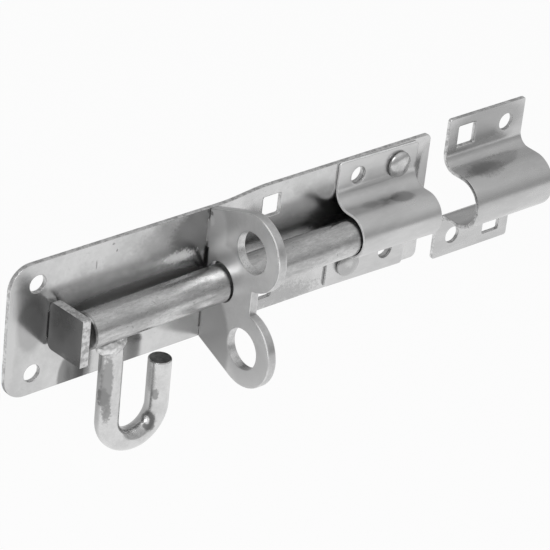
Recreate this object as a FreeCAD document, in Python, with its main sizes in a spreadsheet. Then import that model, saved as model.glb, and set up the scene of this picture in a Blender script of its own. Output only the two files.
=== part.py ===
import FreeCAD, Part
import math
import os

import Sketcher

# A sliding padbolt for a gate or shed door, with its separate keep, in plated steel.
#
# The frame: X runs along the bolt and is positive the way it shoots, Y goes into the door, Z is up.
# The door's face is the plane Y = 0. The origin is on it, behind the middle of the guide saddle.
# Lengths are in millimetres. Distances named "from_left" start at the backplate's left end.

Vector = FreeCAD.Vector

# The driving dimensions: alias, number, what it is.
DRIVING_SIZES = (
    ("plate_length", 203.0, "backplate, end to end"),
    ("plate_height", 54.6, "backplate, edge to edge"),
    ("plate_sheet", 2.0, "backplate sheet"),
    ("joggle", 2.5, "how far the backplate's left part stands off the door"),
    ("ramp_start", 99.0, "from_left of the joggle's start"),
    ("ramp_length", 18.5, "length of the joggle along the bolt"),
    ("ramp_bend", 70.0, "radius of the joggle's two bends"),
    ("left_corner", 9.2, "radius of the backplate's left corners"),
    ("right_corner", 2.5, "radius of the backplate's right corners"),
    ("screw_hole", 7.0, "diameter of every round screw hole"),
    ("end_screw_from_left", 12.2, "from_left of the two end screw holes"),
    ("end_screw_inset", 8.8, "end screw holes in from the backplate's long edges"),
    ("coach_hole", 8.9, "side of the square coach bolt holes"),
    ("coach_from_left", 122.6, "from_left of the backplate's two square holes"),
    ("coach_inset", 9.3, "square holes in from the backplate's long edges"),
    ("strip", 3.8, "thick strip of the lug bracket and the end stop"),
    ("slot_play", 0.4, "room round a tenon in its slot, each side"),
    ("lug_from_left", 90.0, "from_left of the bracket's left face"),
    ("eye_out", 24.4, "padlock eyes in front of the backplate"),
    ("eye_height", 20.3, "padlock eyes above and below the middle"),
    ("eye_bore", 16.0, "diameter of a padlock eye"),
    ("ear_radius", 15.3, "radius of the ears round the padlock eyes"),
    ("notch_out", 26.5, "floor of the notch between the ears, in front of the backplate"),
    ("relief_height", 22.0, "height of the gap between bracket and backplate at the bolt"),
    ("relief_depth", 1.0, "depth of that gap"),
    ("bracket_tenon", 9.5, "height of each bracket tenon"),
    ("bracket_tenon_inset", 9.5, "bracket tenons in from the backplate's long edges"),
    ("stop_from_left", 18.0, "from_left of the end stop's left face"),
    ("stop_height", 19.5, "height of the end stop"),
    ("stop_raise", 0.3, "middle of the end stop's root above the backplate's"),
    ("stop_lift", 1.05, "how much higher its front edge is than its root"),
    ("stop_out", 19.4, "end stop's front edge in front of the backplate"),
    ("stop_corner", 2.6, "rounded inner corners of the end stop"),
    ("stop_tenon", 11.0, "height of the end stop's tenon"),
    ("rod_diameter", 14.3, "bolt rod"),
    ("rod_length", 166.0, "bolt rod, end to end"),
    ("rod_from_left", 27.0, "from_left of the bolt's left end, drawn back"),
    ("rod_out_bracket", 8.71, "bolt's axis in front of the backplate, at the bracket"),
    ("rod_sag_bracket", 0.17, "bolt's axis below the middle, at the bracket"),
    ("rod_out_saddle", 10.41, "bolt's axis in front of the backplate, at the saddle"),
    ("rod_rise_saddle", 0.5, "bolt's axis above the middle, at the saddle"),
    ("rod_bevel", 0.9, "bevel at the bolt's ends"),
    ("rod_play", 0.7, "radial room round the bolt in the bracket"),
    ("rod_drop", 0.6, "how far the bolt has dropped in the bracket's hole"),
    ("hook_bar", 9.0, "diameter of the hook's round bar"),
    ("hook_from_left", 40.7, "from_left of the hook's shank"),
    ("hook_spread", 23.5, "distance between the hook's two legs"),
    ("hook_drop", 42.2, "bend's centre below the bolt's axis"),
    ("hook_tip_drop", 23.4, "free leg's cut end below the bolt's axis"),
    ("hook_joint", 0.05, "room between the bolt and the hook coped round it"),
    ("weld_width", 1.3, "how far the weld stands out round the shank"),
    ("weld_depth", 3.2, "how far the weld reaches down the shank"),
    ("weld_lump_wide", 4.9, "radius of the lump of weld left of the shank, at the bolt"),
    ("weld_lump_foot", 2.9, "radius of that lump at its lower end"),
    ("weld_lump_tall", 7.2, "height of that lump"),
    ("weld_lump_side", 4.6, "lump's middle left of the shank"),
    ("weld_lump_out", 2.4, "lump's middle in front of the shank"),
    ("weld_lump_drop", 11.4, "lump's lower end below the bolt's axis"),
    ("saddle_length", 40.5, "guide saddle along the bolt"),
    ("saddle_inset", 0.4, "how far the guide saddle stops short of each long edge of the backplate"),
    ("saddle_sheet", 1.2, "guide saddle sheet"),
    ("saddle_from_left", 174.8, "from_left of the guide saddle's middle"),
    ("saddle_skew", 1.2, "degrees that the saddle is riveted out of square"),
    ("saddle_play", 0.7, "radial room round the bolt in the saddle"),
    ("flange_bend", 6.6, "radius between the saddle's flange and its channel"),
    ("flange_corner", 1.2, "radius of the flanges' corners"),
    ("fixing_reach", 10.2, "saddle fixings left and right of its middle"),
    ("fixing_inset", 7.9, "saddle fixings in from its upper and lower edges"),
    ("fixing_raise", 0.6, "middle of the saddle's fixings above the saddle's"),
    ("rivet_head", 10.8, "diameter of a rivet's domed head"),
    ("rivet_seat", 0.1, "room round a rivet's head in its flattened seat"),
    ("rivet_rise", 3.0, "height of a rivet's dome"),
    ("rivet_shank", 5.0, "diameter of a rivet's shank"),
    ("keep_gap", 10.2, "gap between the backplate and the keep"),
    ("keep_drop", 1.0, "keep's middle below the backplate's"),
    ("keep_length", 41.0, "keep along the bolt"),
    ("keep_height", 62.4, "keep, edge to edge"),
    ("keep_sheet", 1.8, "keep sheet"),
    ("keep_play", 2.2, "radial room round the bolt in the keep"),
    ("keep_bend", 5.0, "radius between the keep's flange and its channel"),
    ("keep_reach", 10.8, "keep fixings left and right of its middle"),
    ("keep_fixing_inset", 8.6, "keep fixings in from its upper and lower edges"),
)


DOME_CHORDS = 6  # straight chords that a rivet's dome is turned from


class Size:
    """A length that knows its number and the sheet formula that gives it."""

    def __init__(self, value, formula):
        self.value = value
        self.formula = formula

    @staticmethod
    def of(other):
        """Take a Size as it is and a bare number as a fixed one."""
        return other if isinstance(other, Size) else Size(float(other), repr(float(other)))

    def __add__(self, other):
        other = Size.of(other)
        return Size(self.value + other.value, f"({self.formula} + {other.formula})")

    def __sub__(self, other):
        other = Size.of(other)
        return Size(self.value - other.value, f"({self.formula} - {other.formula})")

    def __mul__(self, other):
        other = Size.of(other)
        return Size(self.value * other.value, f"({self.formula} * {other.formula})")

    def __truediv__(self, other):
        other = Size.of(other)
        return Size(self.value / other.value, f"({self.formula} / {other.formula})")

    def __neg__(self):
        return Size(-self.value, f"(0 - {self.formula})")

    def root(self):
        """The square root."""
        return Size(math.sqrt(self.value), f"sqrt({self.formula})")

    def angle(self):
        """The angle in degrees whose tangent this is."""
        return Size(math.degrees(math.atan(self.value)), f"atan({self.formula})")

    def cosine(self):
        """The cosine of a size in degrees."""
        return Size(math.cos(math.radians(self.value)), f"cos({self.formula})")

    def sine(self):
        """The sine of a size in degrees."""
        return Size(math.sin(math.radians(self.value)), f"sin({self.formula})")


class Sizes:
    """The spreadsheet of driving dimensions, read by alias."""

    def __init__(self, document, rows):
        self.sheet = document.addObject("Spreadsheet::Sheet", "Sizes")
        for row, (alias, number, meaning) in enumerate(rows, start=1):
            self.sheet.set(f"A{row}", str(number))
            self.sheet.setAlias(f"A{row}", alias)
            self.sheet.set(f"B{row}", meaning)
            setattr(self, alias, Size(number, f"Sizes.{alias}"))


document = FreeCAD.newDocument("Padbolt")
size = Sizes(document, DRIVING_SIZES)
document.recompute()

# Places that more than one piece uses.
left_end = -size.saddle_from_left
right_end = left_end + size.plate_length
left_front = -(size.joggle + size.plate_sheet)
right_front = -size.plate_sheet
bracket_left = left_end + size.lug_from_left
end_screw_height = size.plate_height / 2 - size.end_screw_inset
coach_height = size.plate_height / 2 - size.coach_inset
tenon_height = size.plate_height / 2 - size.bracket_tenon_inset
saddle_height = size.plate_height - size.saddle_inset * 2
fixing_height = saddle_height / 2 - size.fixing_inset
keep_fixing_height = size.keep_height / 2 - size.keep_fixing_inset
stop_left = left_end + size.stop_from_left
rod_left = left_end + size.rod_from_left
hook_shank_x = left_end + size.hook_from_left
bracket_middle = bracket_left + size.strip / 2
rod_radius = size.rod_diameter / 2
keep_middle = right_end + size.keep_gap + size.keep_length / 2

# The bolt lies loose in its guides, a little askew. Its axis runs through a point at the bracket
# and one at the saddle, and these are the steps it takes along Y and Z for each step along X.
rod_y_saddle = right_front - size.rod_out_saddle
rod_lean = (rod_y_saddle - (left_front - size.rod_out_bracket)) / -bracket_middle
rod_climb = (size.rod_rise_saddle + size.rod_sag_bracket) / -bracket_middle


def rod_axis(x):
    """Give Y and Z of the bolt's axis at a place along X."""
    return rod_y_saddle + rod_lean * x, size.rod_rise_saddle + rod_climb * x


def bind(thing, path, amount):
    """Tie one property of an object to a size."""
    thing.setExpression(path, Size.of(amount).formula)


def new_body(name):
    """Start a sub-part as a body of its own."""
    body = document.addObject("PartDesign::Body", name)
    body.Label = name
    return body


def place(thing, x, y, z):
    """Put a sub-part's own origin at a point."""
    bind(thing, "Placement.Base.x", x)
    bind(thing, "Placement.Base.y", y)
    bind(thing, "Placement.Base.z", z)


def place_on_rod(thing, x):
    """Put a sub-part's own origin on the bolt's axis at X, and turn it to lie along that axis."""
    place(thing, x, *rod_axis(x))
    slope = (rod_lean * rod_lean + rod_climb * rod_climb).root()
    turn = f"rotation(vector(0; {(-rod_climb).formula}; {rod_lean.formula}); {slope.angle().formula})"
    thing.setExpression("Placement.Rotation", turn)


def new_sketch(body, role, name, offset=None):
    """Start a sketch on one of the body's own origin planes, lifted off it by offset."""
    sketch = body.newObject("Sketcher::SketchObject", name)
    plane = next(item for item in body.Origin.OriginFeatures if item.Role == role)
    sketch.AttachmentSupport = [(plane, "")]
    sketch.MapMode = "FlatFace"
    if offset is not None:
        bind(sketch, "AttachmentOffset.Base.z", offset)
    return sketch


def fix_point(sketch, geometry, corner, point):
    """Hold one point of a sketch at a pair of sizes from the sketch's origin."""
    for kind, amount in zip(("DistanceX", "DistanceY"), point):
        amount = Size.of(amount)
        constraint = Sketcher.Constraint(kind, -1, 1, geometry, corner, amount.value)
        number = sketch.addConstraint(constraint)
        bind(sketch, f"Constraints[{number}]", amount)


def draw_polygon(sketch, points):
    """Draw a closed outline of straight lines through points, each a pair of sizes."""
    first = sketch.GeometryCount
    numbers = [Vector(Size.of(u).value, Size.of(v).value, 0) for u, v in points]
    for start, end in zip(numbers, numbers[1:] + numbers[:1]):
        sketch.addGeometry(Part.LineSegment(start, end), False)
    count = len(points)
    for step in range(count):
        following = first + (step + 1) % count
        sketch.addConstraint(Sketcher.Constraint("Coincident", first + step, 2, following, 1))
    for step, point in enumerate(points):
        fix_point(sketch, first + step, 1, point)


def draw_rectangle(sketch, middle, wide, tall):
    """Draw a rectangle round a middle point."""
    u, v = Size.of(middle[0]), Size.of(middle[1])
    half_wide, half_tall = Size.of(wide) / 2, Size.of(tall) / 2
    draw_polygon(sketch, [(u - half_wide, v - half_tall), (u + half_wide, v - half_tall),
                          (u + half_wide, v + half_tall), (u - half_wide, v + half_tall)])


def draw_circle(sketch, middle, radius):
    """Draw a circle at a pair of sizes."""
    u, v, radius = Size.of(middle[0]), Size.of(middle[1]), Size.of(radius)
    number = sketch.addGeometry(Part.Circle(Vector(u.value, v.value, 0), Vector(0, 0, 1), radius.value))
    fix_point(sketch, number, 3, (u, v))
    held = sketch.addConstraint(Sketcher.Constraint("Radius", number, radius.value))
    bind(sketch, f"Constraints[{held}]", radius)


def pad(body, sketch, name, length, symmetric=False, reverse=False):
    """Raise a sketch into a solid of the body."""
    feature = body.newObject("PartDesign::Pad", name)
    feature.Profile = sketch
    feature.SideType = "Symmetric" if symmetric else "One side"
    feature.Reversed = reverse
    bind(feature, "Length", length)
    document.recompute()
    return feature


def pocket_through(body, sketch, name):
    """Cut a sketch right through the body, both ways from its plane."""
    before = body.Shape.Volume
    feature = body.newObject("PartDesign::Pocket", name)
    feature.Profile = sketch
    feature.SideType = "Symmetric"
    feature.Type = "ThroughAll"
    document.recompute()
    if not body.Shape.Volume < before:
        raise RuntimeError(f"{name} cuts nothing")
    return feature


def edges_where(shape, test):
    """Name the edges of a shape whose two end points pass a test."""
    names = []
    for number, edge in enumerate(shape.Edges, start=1):
        ends = [vertex.Point for vertex in edge.Vertexes]
        if len(ends) == 2 and test(*ends):
            names.append(f"Edge{number}")
    return names


def round_edges(body, name, radius, test):
    """Round the body's edges that pass a test."""
    names = edges_where(body.Shape, test)
    if not names:
        raise RuntimeError(f"{name} finds no edge")
    base = body.Tip
    feature = body.newObject("PartDesign::Fillet", name)
    feature.Base = (base, names)
    bind(feature, "Radius", radius)
    document.recompute()
    return feature


def bevel_edges(body, name, amount, test):
    """Bevel the body's edges that pass a test."""
    names = [f"Edge{number}" for number, edge in enumerate(body.Shape.Edges, start=1) if test(edge)]
    if not names:
        raise RuntimeError(f"{name} finds no edge")
    base = body.Tip
    feature = body.newObject("PartDesign::Chamfer", name)
    feature.Base = (base, names)
    bind(feature, "Size", amount)
    document.recompute()
    return feature


def near(first, second):
    """Tell whether two numbers are the same place."""
    return abs(first - second) < 0.001


def runs_along(axis, start, end):
    """Tell whether an edge between two points is parallel to X (0), Y (1) or Z (2)."""
    others = [index for index in range(3) if index != axis]
    return all(near(start[index], end[index]) for index in others) and not near(start[axis], end[axis])


def skewed(across, up):
    """Turn a point of the saddle's face about its middle, as the saddle is riveted."""
    cosine, sine = size.saddle_skew.cosine(), size.saddle_skew.sine()
    return across * cosine + up * sine, up * cosine - across * sine


def build_backplate():
    """The joggled backplate, with its corners, screw holes, square holes and tenon slots."""
    body = new_body("backplate")
    side = new_sketch(body, "XY_Plane", "plate_side")
    ramp_left = left_end + size.ramp_start
    ramp_right = ramp_left + size.ramp_length
    draw_polygon(side, [(left_end, -size.joggle), (left_end, left_front), (ramp_left, left_front),
                        (ramp_right, right_front), (right_end, right_front), (right_end, 0),
                        (ramp_right, 0), (ramp_left, -size.joggle)])
    pad(body, side, "plate_sheet_metal", size.plate_height, symmetric=True)
    for station, name in ((ramp_left, "left_bend"), (ramp_right, "right_bend")):
        round_edges(body, name, size.ramp_bend,
                    lambda start, end: runs_along(2, start, end) and near(start.x, station.value))
    round_edges(body, "left_corners", size.left_corner,
                lambda start, end: runs_along(1, start, end) and near(start.x, left_end.value))
    round_edges(body, "right_corners", size.right_corner,
                lambda start, end: runs_along(1, start, end) and near(start.x, right_end.value))

    screws = new_sketch(body, "XZ_Plane", "end_screw_holes")
    for side_of_middle in (1, -1):
        spot = (left_end + size.end_screw_from_left, end_screw_height * side_of_middle)
        draw_circle(screws, spot, size.screw_hole / 2)
    pocket_through(body, screws, "end_screw_bores")

    fixings = new_sketch(body, "XZ_Plane", "saddle_fixing_holes")
    for across, up, diameter in saddle_fixings():
        draw_circle(fixings, skewed(across, up), diameter / 2)
    pocket_through(body, fixings, "saddle_fixing_bores")

    squares = new_sketch(body, "XZ_Plane", "coach_bolt_holes")
    for side_of_middle in (1, -1):
        spot = (left_end + size.coach_from_left, coach_height * side_of_middle)
        draw_rectangle(squares, spot, size.coach_hole, size.coach_hole)
    pocket_through(body, squares, "coach_bolt_squares")

    slots = new_sketch(body, "XZ_Plane", "tenon_slots")
    room = size.slot_play * 2
    for side_of_middle in (1, -1):
        spot = (bracket_left + size.strip / 2, tenon_height * side_of_middle)
        draw_rectangle(slots, spot, size.strip + room, size.bracket_tenon + room)
    draw_rectangle(slots, (stop_left + size.strip / 2, 0), size.strip + room, size.stop_tenon + room)
    pocket_through(body, slots, "tenon_slot_cuts")
    return body


def screw_spots():
    """List the saddle's two screw holes, square to the saddle: across, up."""
    reach, height = size.fixing_reach, fixing_height
    return [(-reach, size.fixing_raise + height), (reach, size.fixing_raise - height)]


def rivet_spots():
    """List the saddle's two rivets, square to the saddle: across, up."""
    reach, height = size.fixing_reach, fixing_height
    return [(reach, size.fixing_raise + height), (-reach, size.fixing_raise - height)]


def saddle_fixings():
    """List all four fixings of the saddle: across, up, diameter through the plate."""
    screws = [(across, up, size.screw_hole) for across, up in screw_spots()]
    return screws + [(across, up, size.rivet_shank) for across, up in rivet_spots()]


def tangent_corner():
    """Give the point where the bracket's slanted edge runs into the ear's round rim."""
    out = size.eye_out
    up = size.eye_height - size.plate_height / 2
    square = out * out + up * up
    reach = (square - size.ear_radius * size.ear_radius).root()
    along = (out * reach - up * size.ear_radius) / square
    across = (up * reach + out * size.ear_radius) / square
    return along * reach, size.plate_height / 2 + across * reach


def build_lug_bracket():
    """The thick bracket that guides the bolt and carries the two padlock eyes."""
    body = new_body("lug_bracket")
    web = new_sketch(body, "YZ_Plane", "bracket_web")
    half = size.plate_height / 2
    slant_out, slant_up = tangent_corner()
    draw_polygon(web, [(0, half), (-slant_out, slant_up), (-size.notch_out, size.eye_height),
                       (-size.notch_out, -size.eye_height), (-slant_out, -slant_up), (0, -half)])
    pad(body, web, "bracket_plate", size.strip)
    for side_of_middle, name in ((1, "upper"), (-1, "lower")):
        ear = new_sketch(body, "YZ_Plane", f"{name}_ear_rim")
        draw_circle(ear, (-size.eye_out, size.eye_height * side_of_middle), size.ear_radius)
        pad(body, ear, f"{name}_ear", size.strip)
    tenons = new_sketch(body, "YZ_Plane", "bracket_tenon_ends")
    for side_of_middle in (1, -1):
        spot = (size.plate_sheet / 2, tenon_height * side_of_middle)
        draw_rectangle(tenons, spot, size.plate_sheet, size.bracket_tenon)
    pad(body, tenons, "bracket_tenons", size.strip)

    relief = new_sketch(body, "YZ_Plane", "bolt_relief")
    draw_rectangle(relief, (-size.relief_depth / 2, 0), size.relief_depth, size.relief_height)
    pocket_through(body, relief, "bolt_relief_cut")
    hole = new_sketch(body, "YZ_Plane", "bolt_hole")
    spot = (-size.rod_out_bracket, size.rod_drop - size.rod_sag_bracket)
    draw_circle(hole, spot, rod_radius + size.rod_play)
    pocket_through(body, hole, "bolt_hole_cut")
    eyes = new_sketch(body, "YZ_Plane", "padlock_eyes")
    for side_of_middle in (1, -1):
        draw_circle(eyes, (-size.eye_out, size.eye_height * side_of_middle), size.eye_bore / 2)
    pocket_through(body, eyes, "padlock_eye_bores")
    place(body, bracket_left, left_front, 0)
    return body


def build_end_stop():
    """The square slab that ends the bolt's travel on the left, tenoned into the backplate."""
    body = new_body("end_stop")
    slab = new_sketch(body, "YZ_Plane", "stop_slab")
    half = size.stop_height / 2
    front = size.stop_raise + size.stop_lift
    draw_polygon(slab, [(0, size.stop_raise + half), (-size.stop_out, front + half),
                        (-size.stop_out, front - half), (0, size.stop_raise - half)])
    pad(body, slab, "stop_plate", size.strip)
    round_edges(body, "stop_inner_corners", size.stop_corner,
                lambda start, end: runs_along(0, start, end) and near(start.y, 0))
    tenon = new_sketch(body, "YZ_Plane", "stop_tenon_end")
    draw_rectangle(tenon, (size.plate_sheet / 2, 0), size.plate_sheet, size.stop_tenon)
    pad(body, tenon, "stop_tenon_pad", size.strip)
    place(body, stop_left, left_front, 0)
    return body


def build_bolt_rod():
    """The round bolt with bevelled ends."""
    body = new_body("bolt_rod")
    section = new_sketch(body, "YZ_Plane", "bolt_section")
    draw_circle(section, (0, 0), rod_radius)
    pad(body, section, "bolt_bar", size.rod_length)
    bevel_edges(body, "bolt_bevels", size.rod_bevel, lambda edge: edge.isClosed())
    place_on_rod(body, rod_left)
    return body


def build_hook_handle():
    """The hooked handle, bent from round bar and coped to sit against the bolt."""
    body = new_body("hook_handle")
    bar = size.hook_bar / 2
    shank = new_sketch(body, "XY_Plane", "shank_section")
    draw_circle(shank, (0, 0), bar)
    pad(body, shank, "shank", size.hook_drop, reverse=True)
    leg = new_sketch(body, "XY_Plane", "free_leg_section", -size.hook_drop)
    draw_circle(leg, (size.hook_spread, 0), bar)
    pad(body, leg, "free_leg", size.hook_drop - size.hook_tip_drop)
    half_section = new_sketch(body, "XY_Plane", "bend_section", -size.hook_drop)
    draw_circle(half_section, (0, 0), bar)
    middle = size.hook_spread / 2
    line = Part.LineSegment(Vector(middle.value, -1, 0), Vector(middle.value, 1, 0))
    number = half_section.addGeometry(line, True)
    for corner, along in ((1, -1), (2, 1)):
        fix_point(half_section, number, corner, (middle, Size.of(along)))
    document.recompute()
    before = body.Shape.Volume
    bend = body.newObject("PartDesign::Revolution", "bend")
    bend.Profile = half_section
    bend.ReferenceAxis = (half_section, ["Axis0"])
    bend.Angle = 180.0
    bend.Reversed = True
    document.recompute()
    if not body.Shape.Volume > before * 1.3:
        raise RuntimeError("the hook's bend isn't outside its two legs")
    cope = new_sketch(body, "YZ_Plane", "shank_cope_round")
    draw_circle(cope, (0, 0), rod_radius + size.hook_joint)
    before = body.Shape.Volume
    cut = body.newObject("PartDesign::Pocket", "shank_cope")
    cut.Profile = cope
    cut.SideType = "Symmetric"
    bind(cut, "Length", size.hook_bar * 2)
    document.recompute()
    if not body.Shape.Volume < before:
        raise RuntimeError("the shank isn't coped round the bolt")
    place_on_rod(body, hook_shank_x)
    return body


def build_hook_weld():
    """The weld between hook and bolt: a collar round the shank and a lump on its left."""
    bar = size.hook_bar / 2
    top = -(rod_radius - size.weld_depth)
    collar = document.addObject("Part::Cone", "weld_collar")
    bind(collar, "Radius1", bar)
    bind(collar, "Radius2", bar + size.weld_width)
    bind(collar, "Height", size.weld_depth * 2)
    bind(collar, "Placement.Base.z", top - size.weld_depth * 2)
    lump = document.addObject("Part::Cone", "weld_lump")
    bind(lump, "Radius1", size.weld_lump_foot)
    bind(lump, "Radius2", size.weld_lump_wide)
    bind(lump, "Height", size.weld_lump_tall)
    place(lump, -size.weld_lump_side, -size.weld_lump_out, -size.weld_lump_drop)
    metal = document.addObject("Part::Fuse", "weld_metal")
    metal.Base = collar
    metal.Tool = lump
    reach = (size.weld_lump_side + size.weld_lump_wide) * 2
    bolt = document.addObject("Part::Cylinder", "weld_bolt_room")
    bind(bolt, "Radius", rod_radius + size.hook_joint)
    bind(bolt, "Height", reach * 2)
    bolt.Placement = FreeCAD.Placement(Vector(0, 0, 0), FreeCAD.Rotation(Vector(0, 1, 0), 90))
    bind(bolt, "Placement.Base.x", -reach)
    shank = document.addObject("Part::Cylinder", "weld_shank_room")
    bind(shank, "Radius", bar)
    bind(shank, "Height", size.hook_drop)
    bind(shank, "Placement.Base.z", -size.hook_drop)
    room = document.addObject("Part::Fuse", "weld_room")
    room.Base = bolt
    room.Tool = shank
    weld = document.addObject("Part::Cut", "hook_weld")
    weld.Label = "hook_weld"
    weld.Base = metal
    weld.Tool = room
    place_on_rod(weld, hook_shank_x)
    document.recompute()
    return weld


def build_channel(name, length, height, sheet, radius, middle_out, raise_by, bend):
    """A pressed strap: two flanges and a half-round channel standing off them.

    The strap's own origin is the middle of its flanges' back face. middle_out is the distance from
    there to the centre of the half round, raise_by how far the channel is above the middle, and
    bend the radius of the corner between a flange and the channel, seen from the front.
    """
    body = new_body(name)
    outer = radius + sheet
    flange = new_sketch(body, "YZ_Plane", f"{name}_flange_side")
    draw_rectangle(flange, (-sheet / 2, 0), sheet, height)
    pad(body, flange, f"{name}_flanges", length, symmetric=True)
    wall = new_sketch(body, "YZ_Plane", f"{name}_wall_side")
    draw_rectangle(wall, (-middle_out / 2, raise_by), middle_out, outer * 2)
    pad(body, wall, f"{name}_walls", length, symmetric=True)
    crown = new_sketch(body, "YZ_Plane", f"{name}_crown_side")
    draw_circle(crown, (-middle_out, raise_by), outer)
    pad(body, crown, f"{name}_crown", length, symmetric=True)
    inside = new_sketch(body, "YZ_Plane", f"{name}_inside_side")
    draw_rectangle(inside, (-middle_out / 2, raise_by), middle_out, radius * 2)
    pocket_through(body, inside, f"{name}_inside")
    bore = new_sketch(body, "YZ_Plane", f"{name}_bore_side")
    draw_circle(bore, (-middle_out, raise_by), radius)
    pocket_through(body, bore, f"{name}_bore")

    def front_foot(start, end):
        beside = near(abs(start.z - raise_by.value), outer.value)
        return runs_along(0, start, end) and near(start.y, -sheet.value) and beside

    def back_foot(start, end):
        beside = near(abs(start.z - raise_by.value), radius.value)
        return runs_along(0, start, end) and near(start.y, 0) and beside

    round_edges(body, f"{name}_front_bends", bend, front_foot)
    round_edges(body, f"{name}_back_bends", bend + sheet, back_foot)
    round_edges(body, f"{name}_corners", size.flange_corner,
                lambda start, end: runs_along(1, start, end) and near(abs(start.z), height.value / 2))
    return body


def build_guide_saddle():
    """The strap that guides the bolt at its right end, riveted to the backplate out of square."""
    radius = rod_radius + size.saddle_play
    body = build_channel("guide_saddle", size.saddle_length, saddle_height, size.saddle_sheet,
                         radius, size.rod_out_saddle, size.rod_rise_saddle, size.flange_bend)
    seats = new_sketch(body, "XZ_Plane", "rivet_seats", size.saddle_sheet)
    for across, up in rivet_spots():
        draw_circle(seats, (across, up), size.rivet_head / 2 + size.rivet_seat)
    flatten = body.newObject("PartDesign::Pocket", "rivet_seat_cuts")
    flatten.Profile = seats
    flatten.Reversed = True
    bind(flatten, "Length", size.rod_out_saddle)
    document.recompute()
    holes = new_sketch(body, "XZ_Plane", "saddle_holes")
    for across, up, diameter in saddle_fixings():
        draw_circle(holes, (across, up), diameter / 2)
    pocket_through(body, holes, "saddle_hole_bores")
    body.Placement = FreeCAD.Placement(Vector(0, 0, 0), FreeCAD.Rotation(Vector(0, 1, 0), 1.0))
    bind(body, "Placement.Rotation.Angle", size.saddle_skew)
    place(body, 0, right_front, 0)
    return body


def build_keep():
    """The separate strap on the door post that receives the bolt."""
    rod_y_keep = rod_axis(keep_middle)[0]
    body = build_channel("keep", size.keep_length, size.keep_height, size.keep_sheet,
                         rod_radius + size.keep_play, -rod_y_keep, Size.of(0), size.keep_bend)
    squares = new_sketch(body, "XZ_Plane", "keep_square_holes")
    rounds = new_sketch(body, "XZ_Plane", "keep_round_holes")
    for side_of_middle in (1, -1):
        across, up = size.keep_reach * side_of_middle, keep_fixing_height * side_of_middle
        draw_rectangle(squares, (-across, up), size.coach_hole, size.coach_hole)
        draw_circle(rounds, (across, up), size.screw_hole / 2)
    pocket_through(body, squares, "keep_squares")
    pocket_through(body, rounds, "keep_bores")
    place(body, keep_middle, 0, -size.keep_drop)
    return body


def build_rivet(name, spot):
    """A dome-headed rivet through the saddle and the backplate, flush at the back."""
    body = new_body(name)
    base = size.rivet_head / 2
    dome_radius = (base * base + size.rivet_rise * size.rivet_rise) / (size.rivet_rise * 2)
    half_angle = (size.rivet_rise / base).angle() * 2
    outline = []
    for chord in range(DOME_CHORDS + 1):
        slope = half_angle * (chord / DOME_CHORDS)
        outline.append((dome_radius * slope.sine(),
                        dome_radius - size.rivet_rise - dome_radius * slope.cosine()))
    grip = size.saddle_sheet + size.plate_sheet
    outline += [(size.rivet_shank / 2, 0), (size.rivet_shank / 2, grip), (0, grip)]
    half_section = new_sketch(body, "XY_Plane", f"{name}_section")
    draw_polygon(half_section, outline)
    turned = body.newObject("PartDesign::Revolution", f"{name}_turned")
    turned.Profile = half_section
    turned.ReferenceAxis = (half_section, ["V_Axis"])
    turned.Angle = 360.0
    across, up = skewed(*spot)
    place(body, across, right_front - size.saddle_sheet, up)
    document.recompute()
    return body


def check_document():
    """Stop if any object of the document failed to build."""
    for item in document.Objects:
        if "Invalid" in item.State or "Error" in item.State:
            raise RuntimeError(f"{item.Name} is {item.State}")


def write_parts(parts):
    """Write each sub-part to a STEP file named after it."""
    os.makedirs("parts", exist_ok=True)
    for part in parts:
        shape = part.Shape
        if shape.isNull() or not shape.isValid() or len(shape.Solids) != 1:
            raise RuntimeError(f"{part.Label} isn't one valid solid")
        shape.exportStep(f"parts/{part.Label}.step")
        box = shape.BoundBox
        print(f"{part.Label}: {shape.Volume:.1f} mm3, X {box.XMin:.2f} to {box.XMax:.2f}, "
              f"Y {box.YMin:.2f} to {box.YMax:.2f}, Z {box.ZMin:.2f} to {box.ZMax:.2f}")


def main():
    """Build every sub-part, check them and write them."""
    parts = [
        build_backplate(),
        build_lug_bracket(),
        build_end_stop(),
        build_bolt_rod(),
        build_hook_handle(),
        build_hook_weld(),
        build_guide_saddle(),
        build_rivet("rivet_upper", rivet_spots()[0]),
        build_rivet("rivet_lower", rivet_spots()[1]),
        build_keep(),
    ]
    document.recompute()
    check_document()
    write_parts(parts)


main()
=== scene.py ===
import logging
import math
from dataclasses import dataclass
from enum import Enum
from functools import cache
from typing import Callable, Sequence

import bmesh
import bpy
from mathutils import Matrix, Vector, noise


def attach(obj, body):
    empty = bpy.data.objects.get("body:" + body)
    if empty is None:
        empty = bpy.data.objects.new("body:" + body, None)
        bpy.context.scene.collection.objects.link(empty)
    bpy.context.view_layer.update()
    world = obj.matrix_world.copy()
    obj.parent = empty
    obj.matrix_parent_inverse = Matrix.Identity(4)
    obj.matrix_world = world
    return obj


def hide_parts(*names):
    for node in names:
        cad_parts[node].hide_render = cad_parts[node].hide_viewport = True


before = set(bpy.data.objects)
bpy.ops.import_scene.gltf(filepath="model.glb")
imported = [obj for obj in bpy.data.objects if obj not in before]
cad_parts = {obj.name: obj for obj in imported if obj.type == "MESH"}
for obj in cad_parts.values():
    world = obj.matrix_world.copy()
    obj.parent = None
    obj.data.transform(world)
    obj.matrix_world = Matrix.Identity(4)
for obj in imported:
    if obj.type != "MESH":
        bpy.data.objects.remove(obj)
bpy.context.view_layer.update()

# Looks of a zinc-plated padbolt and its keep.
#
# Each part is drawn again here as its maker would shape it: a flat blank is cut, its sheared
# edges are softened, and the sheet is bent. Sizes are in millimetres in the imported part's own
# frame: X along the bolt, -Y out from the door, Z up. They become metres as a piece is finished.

LOG = logging.getLogger("padbolt")
MM = 0.001

Triple = tuple[float, float, float]
Spot = tuple[float, float]
Shape = bmesh.types.BMesh
Edge = bmesh.types.BMEdge
Socket = bpy.types.NodeSocket
Material = bpy.types.Material


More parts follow.
